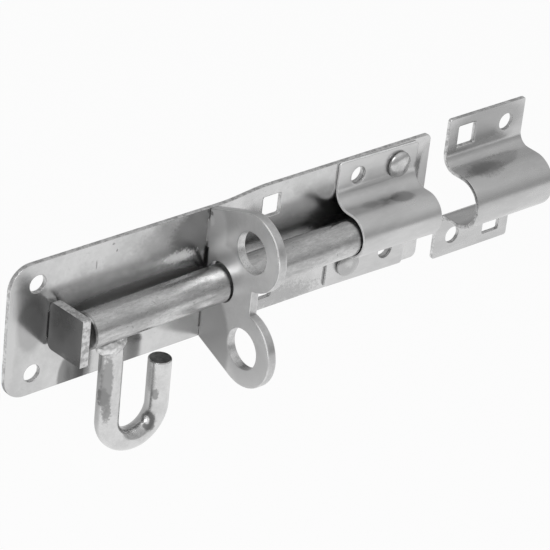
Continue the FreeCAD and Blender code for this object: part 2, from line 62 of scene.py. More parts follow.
class Body(Enum):
    """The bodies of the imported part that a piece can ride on."""

    PLATE = "plate"
    BOLT = "bolt"
    HOOK = "hook"


class Face(Enum):
    """Which of a piece's finishes a face has."""

    PLATED = 0
    SHEARED = 1
    PUNCHED = 2
    LIP = 3


# -------- finishes


@dataclass(frozen=True)
class Clouds:
    """A kind of soft noise: its width in millimetres, its octaves, how strong they are, its shift."""

    across: float
    detail: float
    rough: float
    shift: Triple = (0.0, 0.0, 0.0)


# The widths of BROAD, FINE, DENTS, GRAIN and RAG are multiplied by a finish's or a patch's size.
BROAD = Clouds(1.0, 4.0, 0.6)
FINE = Clouds(1 / 6, 3.0, 0.7, (0.7, 0.2, 0.4))
PITS = Clouds(1.6, 2.0, 0.8, (0.1, 0.9, 0.3))
SPOTS = Clouds(1.1, 4.0, 0.8, (0.6, 0.3, 0.8))
DENTS = Clouds(1.0, 1.0, 0.4, (0.4, 0.6, 0.1))
GRAIN = Clouds(1.0, 3.0, 0.6, (0.2, 0.8, 0.6))
RAG = Clouds(0.7, 5.0, 0.7, (0.31, 0.17, 0.53))
TEARS = Clouds(2.2, 4.0, 0.75)
TEAR_PITS = Clouds(0.6, 2.0, 0.7, (0.5, 0.1, 0.7))

# Where noise, which wanders about 0.5, starts and ends each of its effects.
GREY_RANGE = (0.36, 0.64)
HAZE_RANGE = (0.36, 0.66)
PIT_RANGE = (0.62, 0.72)
TEAR_RANGE = (0.38, 0.6)
TEAR_HAZE_RANGE = (0.3, 0.7)
FINE_RANGE = (0.35, 0.65)
FINE_SHARE = (0.1, 0.45)
PIT_GREY = 0.45
TEAR_GLOSS = 0.75
PATCH_END = 1.02


@dataclass(frozen=True)
class Patch:
    """A stain, or painted light or shade, on a finish: an ellipsoid with a ragged edge, full up to its
    fade.
    """

    middle: Triple
    reach: Triple
    grey: float
    haze: float = 0.35
    strength: float = 0.8
    ragged: float = 0.5
    fade: float = 0.65


class NodeSheet:
    """The nodes of a material or a world, laid out in a row as they are added."""

    STEP = 240

    def __init__(self, owner: bpy.types.ID) -> None:
        """Open the node tree of a material or a world."""
        owner.use_nodes = True
        self.owner, self.tree = owner, owner.node_tree

    def feed(self, socket: Socket, value: object) -> None:
        """Give an input a plain value, or another node's output."""
        if isinstance(value, Socket):
            self.tree.links.new(value, socket)
        else:
            socket.default_value = value

    def node(self, kind: str, inputs: dict[str | int, object], **settings: object) -> bpy.types.Node:
        """Add a node.

        Args:
            kind: the node's type name, after ShaderNode.
            inputs: a plain value or another node's output, by the input's name or number.
            settings: properties to set on it.

        Returns:
            The new node.
        """
        made = self.tree.nodes.new("ShaderNode" + kind)
        made.location = (self.STEP * len(self.tree.nodes), 0)
        for name, value in settings.items():
            setattr(made, name, value)
        for name, value in inputs.items():
            self.feed(made.inputs[name], value)
        return made

    def math(self, operation: str, *terms: object) -> Socket:
        """Join numbers and other nodes' outputs by a math node's operation."""
        return self.node("Math", dict(enumerate(terms)), operation=operation).outputs["Value"]

    def band(self, value: Socket, given: Spot, wanted: Spot, curve: str = "SMOOTHSTEP") -> Socket:
        """Turn a value from a given range to a wanted one by a curve, and hold it at their ends."""
        made = self.node("MapRange", {
            "Value": value, "From Min": given[0], "From Max": given[1],
            "To Min": wanted[0], "To Max": wanted[1]}, interpolation_type=curve)
        return made.outputs["Result"]


class MetalSheet(NodeSheet):
    """A metal's material, made of layers on Object coordinates."""

    def __init__(self, name: str) -> None:
        """Start a material of that name."""
        super().__init__(bpy.data.materials.new(name))
        self.shader = self.tree.nodes["Principled BSDF"]
        self.place = self.node("TexCoord", {}).outputs["Object"]

    def clouds(self, kind: Clouds, size: float = 1.0, stretch: Triple = (1.0, 1.0, 1.0)) -> Socket:
        """Add soft noise.

        Args:
            kind: the noise.
            size: how many times its own width it is.
            stretch: how many times finer the noise is along each axis.

        Returns:
            The noise's value, around 0.5.
        """
        where = self.node("Mapping", {
            "Scale": stretch, "Location": kind.shift, "Vector": self.place})
        made = self.node("TexNoise", {
            "Scale": 1.0 / (kind.across * size * MM), "Detail": kind.detail, "Roughness": kind.rough,
            "Vector": where.outputs["Vector"]})
        return made.outputs["Fac"]

    def blend(self, share: Socket, first: object, second: object) -> Socket:
        """Blend two numbers or values: the share is 0 for the first, 1 for the second."""
        made = self.node("Mix", {"Factor": share, "A": first, "B": second}, data_type="FLOAT")
        return made.outputs["Result"]

    def patch(self, patch: Patch) -> Socket:
        """Give the share of a patch at each place.

        Args:
            patch: where it is and how ragged its edge.

        Returns:
            Its strength in the middle, 0 outside.
        """
        where = self.node("Mapping", {
            "Location": [value * MM for value in patch.middle],
            "Scale": [value * MM for value in patch.reach],
            "Vector": self.place}, vector_type="TEXTURE")
        away = self.node("VectorMath", {0: where.outputs["Vector"]}, operation="LENGTH")
        rag = self.clouds(RAG, min(patch.reach))
        edge = self.math("MULTIPLY_ADD", rag, patch.ragged * 2, -patch.ragged)
        total = self.math("ADD", away.outputs["Value"], edge)
        return self.band(total, (patch.fade, PATCH_END), (patch.strength, 0.0))

    def finish(self, grey: Socket, haze: Socket, bumps: Sequence[tuple[Socket, float]],
               metal: float) -> Material:
        """Join the layers to a metal's shader.

        Args:
            grey: the metal's brightness.
            haze: its roughness.
            bumps: heights, each with its depth in millimetres.
            metal: 1 for bare metal, less where the plating is dull and chalky.

        Returns:
            The finished material.
        """
        colour = self.node("CombineColor", {"Red": grey, "Green": grey, "Blue": grey})
        layers = {"Base Color": colour.outputs["Color"], "Roughness": haze, "Metallic": metal}
        below: dict[str | int, object] = {}
        for height, depth in bumps:
            bump = self.node("Bump", {
                "Strength": 1.0, "Distance": depth * MM, "Height": height, **below})
            below = {"Normal": bump.outputs["Normal"]}
        for name, value in {**layers, **below}.items():
            self.feed(self.shader.inputs[name], value)
        return self.owner


@dataclass(frozen=True)
class ZincPlate:
    """Bright zinc plating: cloudy grey, with soft dents and a fine grain.

    The greys and the haze each run between two values, by clouds of the given width. dents is how
    far the surface wanders over dent_across, and grain the depth of its fine pits. fleck is how
    strong the scattered dark pits are, and speckle how much the grey varies from spot to spot.
    patches lay other greys and hazes over it: stains, and painted light and shade.
    """

    name: str
    dull: float
    bright: float
    gloss: float
    haze: float
    cloud: float = 14.0
    stretch: Triple = (1.0, 1.0, 1.0)
    dents: float = 0.02
    dent_across: float = 18.0
    grain: float = 0.004
    grain_across: float = 0.9
    fleck: float = 0.0
    speckle: float = 0.0
    metal: float = 1.0
    patches: tuple[Patch, ...] = ()

    @cache
    def material(self) -> Material:
        """Make the material, once."""
        sheet = MetalSheet(self.name)
        cloud = sheet.clouds(BROAD, self.cloud, self.stretch)
        fine = sheet.clouds(FINE, self.cloud, self.stretch)
        mixed = sheet.blend(sheet.band(fine, FINE_RANGE, FINE_SHARE), cloud, fine)
        grey = sheet.band(mixed, GREY_RANGE, (self.dull, self.bright))
        haze = sheet.band(cloud, HAZE_RANGE, (self.haze, self.gloss))
        if self.fleck > 0:
            share = sheet.band(sheet.clouds(PITS), PIT_RANGE, (0.0, self.fleck))
            grey = sheet.blend(share, grey, self.dull * PIT_GREY)
        if self.speckle > 0:
            spots = sheet.clouds(SPOTS, stretch=self.stretch)
            change = sheet.band(spots, GREY_RANGE, (1.0 - self.speckle, 1.0 + self.speckle / 2))
            grey = sheet.math("MULTIPLY", grey, change)
        for patch in self.patches:
            share = sheet.patch(patch)
            grey = sheet.blend(share, grey, patch.grey)
            haze = sheet.blend(share, haze, patch.haze)
        bumps = [(sheet.clouds(DENTS, self.dent_across), self.dents),
                 (sheet.clouds(GRAIN, self.grain_across), self.grain)]
        return sheet.finish(grey, haze, bumps, self.metal)


@dataclass(frozen=True)
class ShearedEdge:
    """A sheet's cut edge under its plating: pale where it was sheared, darker where it tore."""

    name: str
    pale: float
    torn: float
    haze: float = 0.5
    depth: float = 0.05
    metal: float = 1.0

    @cache
    def material(self) -> Material:
        """Make the material, once."""
        sheet = MetalSheet(self.name)
        torn, pits = sheet.clouds(TEARS), sheet.clouds(TEAR_PITS)
        grey = sheet.band(torn, TEAR_RANGE, (self.torn, self.pale))
        haze = sheet.band(pits, TEAR_HAZE_RANGE, (self.haze, self.haze * TEAR_GLOSS))
        return sheet.finish(grey, haze, [(torn, self.depth), (pits, self.depth / 3)], self.metal)


# The patches of each finish, in the part's own millimetres. A comment above a patch says what it
# paints; patches without one are stains and scratches.
PLATE_MARKS_AND_PAINTED_LIGHT = (
    # Painted highlight along the plate's left end.
    Patch((-173.6, -4.5, 0), (3.4, 1.5, 26), 0.64, 0.22, 0.85, 0.3),
    # Darker over the lower plate between the bracket and the saddle.
    Patch((-46, -3, -24), (30, 1.8, 7), 0.40, 0.30, 0.7, 0.7),
    # Painted dark reflection of the bolt and the bracket, on the plate above the bolt about the bracket;
    # this line and the next.
    Patch((-95, -4.5, 19), (26, 1.5, 11), 0.30, 0.24, 0.5, 0.3),
    Patch((-89, -4.5, 18.5), (16, 1.5, 12), 0.16, 0.26, 0.75, 0.25),
    # Painted shade along the crease behind the bolt: a little darker grey, with more haze to soften it.
    Patch((-116, -4.5, 2.2), (36, 1.5, 4.6), 0.46, 0.42, 0.9, 0.1),
    # Painted shade on the plate between the end stop and the hook's shank, below the bolt.
    Patch((-144.8, -4.5, -25), (6.6, 1.5, 11), 0.24, 0.22, 0.85, 0.05, 0.8),
    # Painted dark reflection of the end stop, on the plate left of it.
    Patch((-164.4, -4.5, 2), (7.6, 1.5, 13.5), 0.36, 0.16, 0.65, 0.1),
    # Painted highlight: the left lamp's reflection on the plate, left of the bracket above the bolt.
    Patch((-98, -4.5, 10.6), (9, 1.5, 3), 1, 0.24, 0.8, 1.1),
    # Painted light on the plate's right end beside the keep, brighter and hazier there.
    Patch((26.6, -2, 10), (3.4, 1.5, 15), 0.84, 0.62, 0.95, 0.1),
    Patch((-136.6, -4.5, 18.6), (0.35, 1, 2.2), 0.34, 0.4, 0.7, 0.6),
    Patch((-129.4, -4.5, 25.2), (0.7, 1, 0.5), 0.32, 0.4, 0.7, 0.8),
    Patch((-127.6, -4.5, 22), (0.5, 1, 0.7), 0.32, 0.4, 0.7, 0.8),
)
STRAP_PAINTED_REFLECTION_AND_SHADE = (
    # Painted dark reflection along the top of the channel; this line and the next.
    Patch((-8.6, -9.6, 8.9), (6.4, 4, 1.5), 0.40, 0.3, 0.75, 0.25),
    Patch((7.6, -10.8, 9.4), (6.6, 4, 1.5), 0.35, 0.3, 0.8, 0.25),
    # Painted shade in the bend between the channel and the upper flange.
    Patch((0, -4.2, 14.6), (23, 2, 1.3), 0.42, 0.4, 0.7, 0.1),
)
KEEP_DARKENING_AND_PAINTED_REFLECTION = (
    # Painted dark reflection along the top of the channel.
    Patch((51.5, -11, 9), (13, 6, 2.2), 0.30, 0.3, 0.8, 0.3),
    # Darker over the whole upper flange.
    Patch((59, -2.2, 24), (26, 1.3, 9.5), 0.36, 0.24, 0.75, 0.1),
)
STRIP_PAINTED_LIGHT_AND_SHADE = (
    # Painted highlight between the upper eye and the bolt's hole.
    Patch((-84.8, -17, 11.5), (3, 8, 6), 1, 0.34, 0.8, 0.1),
    # Painted light over the upper face, between the bolt's hole and the plate.
    Patch((-84.8, -9, 20), (3, 7, 12), 1, 0.42, 0.8, 0.1),
    # Painted shade on the lower ear.
    Patch((-84.8, -35, -26), (3, 14, 14), 0.62, 0.4, 0.8, 0.1),
    # Painted shade over the lower face near the plate, below the bolt.
    Patch((-84.8, 10, -26), (3, 33, 32), 0.44, 0.34, 0.8, 0.02, 0.93),
    # A peened spot at the bracket's upper root, with a painted highlight on it.
    Patch((-84.8, -6.2, 22.6), (2, 1.4, 2.4), 1, 0.6, 1, 0.3),
    # Painted shade in the corner where the bracket's top meets the plate.
    Patch((-84.8, -5.4, 25.6), (2, 1, 1), 0.30, 0.3, 0.8, 0.6),
)
LIP_PAINTED_HIGHLIGHTS = (
    # Painted highlights on the rim's rounding, on the upper outer rim of each ear.
    Patch((-84.8, -39, 29), (2.4, 9, 11), 1, 0.24, 0.95, 0.1),
    Patch((-84.8, -38, -12), (2.4, 9, 7), 1, 0.24, 0.95, 0.1),
)
HOOK_STAINS_AND_PAINTED_HIGHLIGHT = (
    Patch((-137.2, -16.4, -25.5), (2, 3.4, 15), 0.32, 0.35, 0.85, 0.6),
    Patch((-138.8, -15.6, -31), (3.4, 3.8, 4), 0.26, 0.35, 0.85, 1.2),
    Patch((-136.8, -17, -37), (1.5, 3, 5), 0.28, 0.35, 0.8, 1.2),
    Patch((-113.9, -16.6, -37.3), (1.4, 2.4, 2.8), 0.28, 0.35, 0.8, 0.7),
    Patch((-114.4, -14.6, -31), (1.2, 2, 7), 0.42, 0.3, 0.6, 0.8),
    # Painted reflection of a dent inside the hook's bend: a dark ring here, and a painted highlight
    # inside it two lines down.
    Patch((-115.8, -16.6, -47.8), (2.9, 4.2, 4.8), 0.22, 0.3, 0.9, 0.5),
    Patch((-122.5, -14.6, -51), (5.5, 4, 2.2), 0.40, 0.3, 0.6, 0.8),
    # Painted highlight inside the dent's dark ring.
    Patch((-116.3, -16.4, -46.4), (1.2, 2.6, 3.2), 1, 0.3, 1, 0.3),
)
RIVET_PAINTED_LIGHT_AND_SHADE = (
    # Painted shade over the lower rivet.
    Patch((-10.6, -5, -18.2), (8, 5, 8), 0.42, 0.26, 0.8, 0.2),
    # Painted highlight on the lower rivet's head.
    Patch((-11.6, -6, -17), (2.6, 2.6, 2.6), 0.66, 0.26, 0.7, 1, 0.1),
)

# How much finer than usual the clouds are along each axis of rolled sheet and drawn bar.
ROLLED = (0.5, 1.4, 1.4)
DRAWN = (0.3, 1.0, 1.0)

Finish = ZincPlate | ShearedEdge

PLATE_ZINC = ZincPlate(
    "zinc_backplate", 0.56, 0.66, 0.15, 0.24, cloud=26.0, dents=0.05, dent_across=26.0,
    grain=0.0012, fleck=0.15, patches=PLATE_MARKS_AND_PAINTED_LIGHT)
SHEET_EDGE = ShearedEdge("zinc_sheet_edge", 0.74, 0.44, haze=0.45, depth=0.03)
PUNCHED_WALL = ShearedEdge("zinc_punched_wall", 0.66, 0.42, depth=0.015)
STRAP_ZINC = ZincPlate(
    "zinc_strap", 0.60, 0.67, 0.27, 0.35, cloud=18.0, stretch=ROLLED, dents=0.03,
    grain=0.002, fleck=0.08, patches=STRAP_PAINTED_REFLECTION_AND_SHADE)
STRAP_EDGE = ShearedEdge("zinc_strap_edge", 0.92, 0.78, haze=0.6, depth=0.012, metal=0.3)
KEEP_ZINC = ZincPlate(
    "zinc_keep", 0.54, 0.61, 0.24, 0.32, cloud=18.0, stretch=ROLLED, dents=0.03,
    grain=0.002, fleck=0.06, patches=KEEP_DARKENING_AND_PAINTED_REFLECTION)
STRIP_ZINC = ZincPlate(
    "zinc_strip", 0.70, 0.78, 0.34, 0.42, cloud=12.0, dents=0.03, dent_across=9.0,
    grain=0.002, fleck=0.05, metal=0.8, patches=STRIP_PAINTED_LIGHT_AND_SHADE)
LIP_ZINC = ZincPlate("zinc_strip_lip", 0.60, 0.72, 0.30, 0.40, cloud=3.0, patches=LIP_PAINTED_HIGHLIGHTS)
STRIP_EDGE = ShearedEdge("zinc_strip_edge", 0.60, 0.52, haze=0.4, depth=0.015)
EYE_WALL = ShearedEdge("zinc_eye_wall", 0.66, 0.52, haze=0.35, depth=0.02)
# The end stop is cut from the bracket's strip; its near-black grey is a painted dark reflection on its
# faces.
STOP_PAINTED_DARK_REFLECTION = ZincPlate("zinc_stop", 0.14, 0.18, 0.20, 0.30, cloud=9.0, dents=0.015, grain=0.002)
STOP_EDGE = ShearedEdge("zinc_stop_edge", 0.74, 0.42, depth=0.09)
ROD_ZINC = ZincPlate(
    "zinc_bolt", 0.47, 0.60, 0.20, 0.32, cloud=8.0, stretch=DRAWN, dents=0.016,
    dent_across=9.0, grain=0.012, grain_across=1.1, fleck=0.5, speckle=0.14)
HOOK_ZINC = ZincPlate(
    "zinc_hook", 0.62, 0.70, 0.16, 0.26, cloud=8.0, dents=0.05, dent_across=7.0,
    grain=0.002, fleck=0.05, speckle=0.03, patches=HOOK_STAINS_AND_PAINTED_HIGHLIGHT)
# Bare cut metal at the ends of the bolt and the hook; on the bolt's rounded end rims it is also painted
# shade of the gap at the stop.
CUT_END_AND_GAP_SHADE = ZincPlate("zinc_cut_end_and_gap_shade", 0.18, 0.36, 0.35, 0.50, cloud=3.0, grain=0.012)
WELD_ZINC = ZincPlate(
    "zinc_weld", 0.62, 0.86, 0.35, 0.50, cloud=2.6, dents=0.14, dent_across=2.2,
    grain=0.01, grain_across=0.6, fleck=0.25)
RIVET_ZINC = ZincPlate(
    "zinc_rivet", 0.54, 0.68, 0.20, 0.30, cloud=5.0, dents=0.07, dent_across=3.5,
    grain=0.003, fleck=0.1, patches=RIVET_PAINTED_LIGHT_AND_SHADE)


# -------- shaping

# A face is a cut side where its normal's part towards the front is less than SIDE_ON, and a hole's
# wall where its middle is no further than WALL_SLACK outside the hole. An edge is sharp where its
# faces meet at more than SHARP.
SIDE_ON = 0.5
WALL_SLACK = 0.01
SHARP = math.radians(50)


def put_in_scene(name: str, mesh: Shape, materials: Sequence[Material]) -> bpy.types.Object:
    """Turn a mesh into an object of the scene.

    Args:
        name: of the object.
        mesh: the shape, which is used up.
        materials: its materials, in the order of Face.

    Returns:
        The object.
    """
    data = bpy.data.meshes.new(name)
    mesh.to_mesh(data)
    mesh.free()
    for material in materials:
        data.materials.append(material)
    made = bpy.data.objects.new(name, data)
    bpy.context.scene.collection.objects.link(made)
    return made


def soften(mesh: Shape, parts: Sequence, width: float, segments: int, material: int = -1,
           affect: str = "EDGES") -> None:
    """Round off some edges or, where affect is VERTICES, points; material -1 is the neighbours'."""
    bmesh.ops.bevel(mesh, geom=parts, offset=width, segments=segments, profile=0.5, affect=affect,
                    material=material)


def carry(mesh: Shape, matrix: Matrix) -> None:
    """Carry a whole mesh to its place."""
    bmesh.ops.transform(mesh, matrix=matrix, verts=mesh.verts[:])


def face_out(mesh: Shape) -> None:
    """Turn every face of a closed mesh outwards."""
    bmesh.ops.recalc_face_normals(mesh, faces=mesh.faces[:])


def edges_in(parts: Sequence) -> list[Edge]:
    """Pick the edges out of a mix of a mesh's parts."""
    return [part for part in parts if isinstance(part, Edge)]


def points_in(parts: Sequence) -> list[bmesh.types.BMVert]:
    """Pick the points out of a mix of a mesh's parts."""
    return [part for part in parts if isinstance(part, bmesh.types.BMVert)]


@dataclass(frozen=True)
class Piece:
    """What a finished mesh is called, what it rides on and which solid it stands for."""

    name: str
    node: str
    body: Body
    slot: str
    crease: float = 38.0

    def make(self, mesh: Shape, *finishes: Finish) -> None:
        """Turn a mesh in millimetres into a piece of the scene.

        Args:
            mesh: the shape, which is used up.
            finishes: what its faces have, in the order of Face.
        """
        bmesh.ops.scale(mesh, vec=(MM, MM, MM), verts=mesh.verts[:])
        made = put_in_scene(self.name, mesh, [finish.material() for finish in finishes])
        made.data.shade_smooth()
        made.data.set_sharp_from_angle(angle=math.radians(self.crease))
        made.modifiers.new("even_shading", "WEIGHTED_NORMAL").keep_sharp = True
        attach(made, self.body.value)
        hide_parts(self.node)
        LOG.info("%s: %d faces, rides on %s", self.name, len(made.data.polygons), self.body.value)


class Blank:
    """A flat blank of sheet or strip. Its front lies in the plane Y = 0 and it is thick towards +Y."""

    def __init__(self) -> None:
        """Start with nothing drawn."""
        self.mesh = bmesh.new()
        self.holes: list[tuple[Vector, float]] = []

    def outline(self, corners: Sequence[Triple], segments: int) -> None:
        """Draw a closed outline with rounded corners, of the blank or of a hole.

        Args:
            corners: across, up and rounding radius of each corner, in order.
            segments: edges in each rounding.
        """
        points = [self.mesh.verts.new((across, 0.0, up)) for across, up, _ in corners]
        self.mesh.faces.new(points)
        for number, (point, (across, up, radius)) in enumerate(zip(points, corners)):
            if radius <= 0:
                continue
            before = Vector(corners[number - 1][:2]) - Vector((across, up))
            after = Vector(corners[(number + 1) % len(corners)][:2]) - Vector((across, up))
            reach = radius / math.tan(before.angle(after) / 2)
            soften(self.mesh, [point], reach, segments, affect="VERTICES")
        bmesh.ops.delete(self.mesh, geom=self.mesh.faces[:], context="FACES_ONLY")

    def rectangle(self, middle: Spot, wide: float, tall: float, radius: float = 0.0) -> None:
        """Draw a rectangular hole.

        Args:
            middle: across and up of its middle.
            wide: width.
            tall: height.
            radius: rounding of its corners.
        """
        across, up = middle
        self.holes.append((Vector((across, 0.0, up)), math.hypot(wide, tall) / 2))
        self.outline([(across + side * wide / 2, up + rise * tall / 2, radius)
                      for side, rise in ((-1, -1), (1, -1), (1, 1), (-1, 1))], segments=5)

    def circle(self, middle: Spot, radius: float, segments: int = 48) -> None:
        """Draw a round hole.

        Args:
            middle: across and up of its centre.
            radius: its radius.
            segments: edges round it.
        """
        self.holes.append((Vector((middle[0], 0.0, middle[1])), radius))
        place = Matrix.Translation((middle[0], 0.0, middle[1])) @ Matrix.Rotation(math.pi / 2, 4, "X")
        bmesh.ops.create_circle(self.mesh, segments=segments, radius=radius, matrix=place)

    def cut(self, thickness: float, softened: float, lip: Face | None = None) -> None:
        """Fill the outlines, give the blank its thickness and soften its sheared edges.

        Args:
            thickness: of the sheet.
            softened: width of the rounding along its edges.
            lip: the rounding's own material, where it has one.
        """
        bmesh.ops.triangle_fill(self.mesh, use_beauty=True, edges=self.mesh.edges[:],
                                normal=(0.0, -1.0, 0.0))
        back = bmesh.ops.extrude_face_region(self.mesh, geom=self.mesh.faces[:])["geom"]
        bmesh.ops.translate(self.mesh, vec=(0.0, thickness, 0.0), verts=points_in(back))
        face_out(self.mesh)
        for face in self.mesh.faces:
            if abs(face.normal.y) < SIDE_ON:
                middle = face.calc_center_median()
                middle.y = 0.0
                inside = any((middle - hole).length < reach + WALL_SLACK for hole, reach in self.holes)
                face.material_index = (Face.PUNCHED if inside else Face.SHEARED).value
        sharp = [edge for edge in self.mesh.edges if edge.calc_face_angle(0.0) > SHARP
                 and any(abs(face.normal.y) > SIDE_ON for face in edge.link_faces)]
        soften(self.mesh, sharp, softened, segments=2, material=-1 if lip is None else lip.value)

    def score(self, along: Triple, places: Sequence[float]) -> None:
        """Cut the faces across, where the blank is going to bend.

        Args:
            along: direction in which the places are counted.
            places: distance of each cut from the origin.
        """
        for place in places:
            geom = self.mesh.verts[:] + self.mesh.edges[:] + self.mesh.faces[:]
            bmesh.ops.bisect_plane(self.mesh, geom=geom, dist=0.0001, plane_co=Vector(along) * place,
                                   plane_no=along)

    def bend(self, shape: Callable[[Vector], Vector]) -> None:
        """Move every point of the blank to its bent place, which shape gives for a flat one."""
        for vert in self.mesh.verts:
            vert.co = shape(vert.co.copy())
        self.mesh.normal_update()

    def stand_on_plate(self, face_x: float) -> None:
        """Turn the blank crosswise and stand it on the plate, its own front at an X."""
        carry(self.mesh, Matrix.Rotation(math.pi / 2, 4, "Z"))
        carry(self.mesh, Matrix.Translation((face_x, PLATE_FRONT, 0.0)))


def spun_profile(points: Sequence[Spot], steps: int) -> Shape:
    """Turn a half outline about the Z axis.

    Args:
        points: distance from the axis and height, from the first end on the axis to the last.
        steps: faces round it.

    Returns:
        The closed shape.
    """
    mesh = bmesh.new()
    chain = [mesh.verts.new((out, 0.0, up)) for out, up in points]
    edges = [mesh.edges.new(pair) for pair in zip(chain, chain[1:])]
    bmesh.ops.spin(mesh, geom=chain + edges, axis=(0, 0, 1), angle=math.tau, steps=steps,
                   use_merge=True)
    bmesh.ops.remove_doubles(mesh, verts=mesh.verts[:], dist=0.0005)
    face_out(mesh)
    return mesh


def drawn_on(mesh: Shape, ring: list[Edge], levels: Sequence[float]) -> list[Edge]:
    """Draw a ring of edges on as a tube, through one height after another.

    Args:
        mesh: the shape.
        ring: the tube's open end.
        levels: the heights.

    Returns:
        The ring at the last height.
    """
    for level in levels:
        grown = bmesh.ops.extrude_edge_only(mesh, edges=ring)["geom"]
        ring = edges_in(grown)
        for vert in points_in(grown):
            vert.co.z = level
    return ring


# -------- the parts

# What more than one part needs: the plate's sheet and joggle, the strip that the bracket and the
# stop are cut from, the holes, the rivets, and the hook's place and seat on the bolt.
SHEET = 2.0
JOGGLE = 2.5
PLATE_FRONT = -SHEET - JOGGLE
STRIP = 3.8
STRIP_SOFTENED = 0.45
SCREW_RADIUS = 3.5
COACH_SIDE = 8.9
UPPER_RIVET: Spot = (10.61, 19.38)
LOWER_RIVET: Spot = (-10.58, -18.18)
RIVET_SHANK = 2.5
HOOK_X = -134.1
HOOK_SEAT = 7.2


@dataclass(frozen=True)
class Backplate:
    """The long plate, set back by a joggle at its right part so that the strap's flanges lie level."""

    left: float = -174.8
    right: float = 28.2
    half_height: float = 27.3
    ramp: Spot = (-75.8, -57.3)
    rounded: float = 4.7
    left_corner: float = 9.2
    right_corner: float = 2.5
    softened: float = 0.32
    end_screws: tuple[Spot, ...] = ((-162.6, 18.5), (-162.6, -18.5))
    saddle_screws: tuple[Spot, ...] = ((-9.787, 19.809), (9.812, -18.61))
    coach_holes: tuple[Spot, ...] = ((-52.2, 18.0), (-52.2, -18.0))
    bracket_slots: tuple[Spot, ...] = ((-82.9, 17.8), (-82.9, -17.8))
    bracket_slot: Spot = (4.6, 10.3)
    stop_slot_middle: Spot = (-154.9, 0.0)
    stop_slot: Spot = (4.6, 11.8)
    slot_corner: float = 0.3
    bend_cuts: int = 5

    def blank(self) -> Blank:
        """Cut the plate flat, with its holes and slots.

        Returns:
            The flat blank.
        """
        cut = Blank()
        cut.outline([(self.left, -self.half_height, self.left_corner),
                     (self.right, -self.half_height, self.right_corner),
                     (self.right, self.half_height, self.right_corner),
                     (self.left, self.half_height, self.left_corner)], segments=12)
        for spot in self.end_screws + self.saddle_screws:
            cut.circle(spot, SCREW_RADIUS)
        for spot in (UPPER_RIVET, LOWER_RIVET):
            cut.circle(spot, RIVET_SHANK)
        for spot in self.coach_holes:
            cut.rectangle(spot, COACH_SIDE, COACH_SIDE, radius=0.7)
        for spot in self.bracket_slots:
            cut.rectangle(spot, *self.bracket_slot, radius=self.slot_corner)
        cut.rectangle(self.stop_slot_middle, *self.stop_slot, radius=self.slot_corner)
        cut.cut(SHEET, self.softened)
        return cut

    def past(self, run: float) -> float:
        """Give how far a place is past a corner of the ramp, with the corner rounded off."""
        if abs(run) < self.rounded:
            return (run + self.rounded) ** 2 / (4 * self.rounded)
        return max(run, 0.0)

    def joggled(self, flat: Vector) -> Vector:
        """Give a flat place's place in the joggled plate.

        Args:
            flat: the place in the blank.

        Returns:
            The place in the plate.
        """
        start, end = self.ramp
        gone = self.past(flat.x - start) - self.past(flat.x - end)
        return flat + Vector((0.0, -SHEET - JOGGLE * (1 - gone / (end - start)), 0.0))

    def build(self) -> None:
        """Make the plate."""
        cut = self.blank()
        cuts = self.bend_cuts
        cut.score((1.0, 0.0, 0.0), [corner + self.rounded * step / cuts for corner in self.ramp
                                    for step in range(-cuts, cuts + 1)])
        cut.bend(self.joggled)
        piece = Piece("backplate_sheet", "backplate", Body.PLATE, "plated_sheet", crease=40.0)
        piece.make(cut.mesh, PLATE_ZINC, SHEET_EDGE, PUNCHED_WALL)


